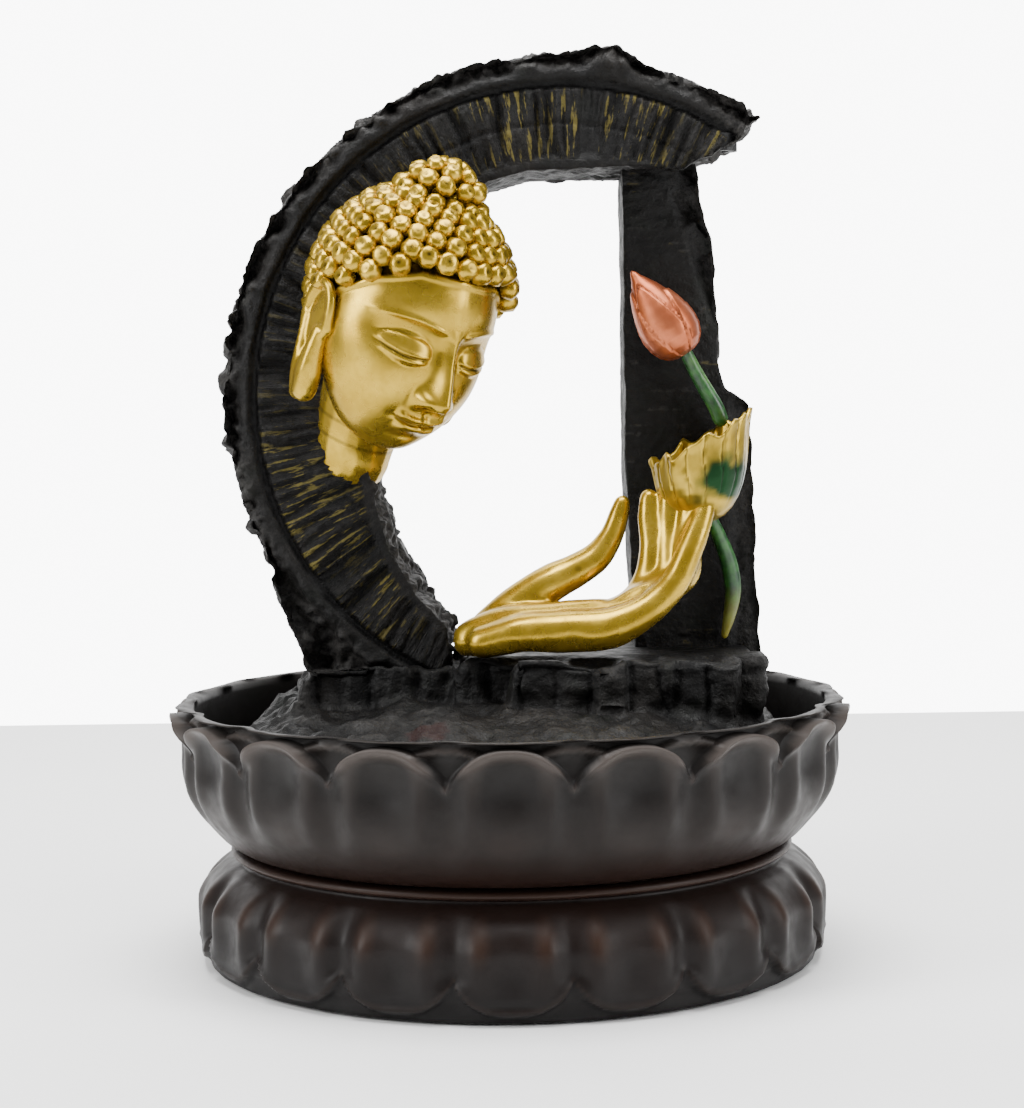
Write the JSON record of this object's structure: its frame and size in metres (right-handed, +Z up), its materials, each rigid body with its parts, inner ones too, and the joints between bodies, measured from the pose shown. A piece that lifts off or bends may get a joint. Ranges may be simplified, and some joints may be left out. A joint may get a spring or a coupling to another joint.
{
  "type": "tabletop water fountain",
  "caption": "Tabletop fountain: lotus bowl on a lotus pedestal, with a lift-out rock crescent holding a gilded head, an open hand and lotus, over a small pump.",
  "frame": {"origin": "middle of the footprint, on the table", "axes": "+Z up; -Y towards the viewer in front; +X to the viewer's right"},
  "size_m": [0.2758, 0.2802, 0.3659],
  "materials": {
    "basin_plastic": "satin charcoal, brown near the waist",
    "rock_resin": "rough cast, near-black with olive and brown highlights",
    "gold_paint": "satin gold paint",
    "leaf_paint": "gold paint blotched with green",
    "stem_paint": "green paint",
    "copper_paint": "satin copper paint",
    "tube_silicone": "translucent",
    "pump_plastic": "moulded black",
    "filter_foam": "open-cell foam",
    "core_steel": "laminated steel",
    "screw_steel": "stainless",
    "coil_copper": "enamelled copper wire",
    "potting_epoxy": "potting resin",
    "gland_rubber": "moulded rubber",
    "foot_rubber": "moulded rubber",
    "rotor_ferrite": "ferrite magnet",
    "impeller_plastic": "moulded white",
    "shaft_ceramic": "polished ceramic"
  },
  "bodies": {
    "basin": {"basin_bowl": "basin_plastic", "pedestal": "basin_plastic", "basin_screw_1": "screw_steel", "basin_screw_2": "screw_steel", "basin_screw_3": "screw_steel", "basin_screw_4": "screw_steel", "rubber_foot_1": "foot_rubber", "rubber_foot_2": "foot_rubber", "rubber_foot_3": "foot_rubber", "rubber_foot_4": "foot_rubber", "pump_housing": "pump_plastic", "volute_chamber": "pump_plastic", "outlet_nozzle": "pump_plastic", "stator_core": "core_steel", "stator_coil": "coil_copper", "epoxy_potting": "potting_epoxy", "cable_gland": "gland_rubber", "rotor_shaft": "shaft_ceramic", "shaft_bush_rear": "gland_rubber", "shaft_bush_front": "gland_rubber", "suction_cup_1": "foot_rubber", "suction_cup_2": "foot_rubber", "suction_cup_3": "foot_rubber", "suction_cup_4": "foot_rubber"},
    "statue": {"rock_mound": "rock_resin", "rock_crescent": "rock_resin", "rock_post": "rock_resin", "gilded_head": "gold_paint", "open_hand": "gold_paint", "lotus_leaf_cup": "leaf_paint", "lotus_bud": "copper_paint", "bud_stem": "stem_paint", "leaf_stem": "stem_paint", "water_tube": "tube_silicone", "water_spout": "pump_plastic"},
    "rotor": {"rotor_magnet": "rotor_ferrite", "impeller": "impeller_plastic"},
    "cover": {"intake_cover": "pump_plastic", "foam_filter": "filter_foam"},
    "dial": {"flow_dial": "pump_plastic"}
  },
  "joints": [
    {"name": "statue_lift", "type": "slide", "parent": "basin", "child": "statue", "axis": [0, 0, 1], "range_m": [0, 0.14]},
    {"name": "rotor_spin", "type": "hinge", "parent": "basin", "child": "rotor", "pos_m": [0.06, 0.003, 0.0733], "axis": [0, -1, 0], "continuous": true},
    {"name": "cover_pull", "type": "slide", "parent": "basin", "child": "cover", "axis": [0, -1, 0], "range_m": [0, 0.03]},
    {"name": "dial_turn", "type": "hinge", "parent": "cover", "child": "dial", "pos_m": [0.06, 0.003, 0.0733], "axis": [0, -1, 0], "range_deg": [0, 90]}
  ]
}
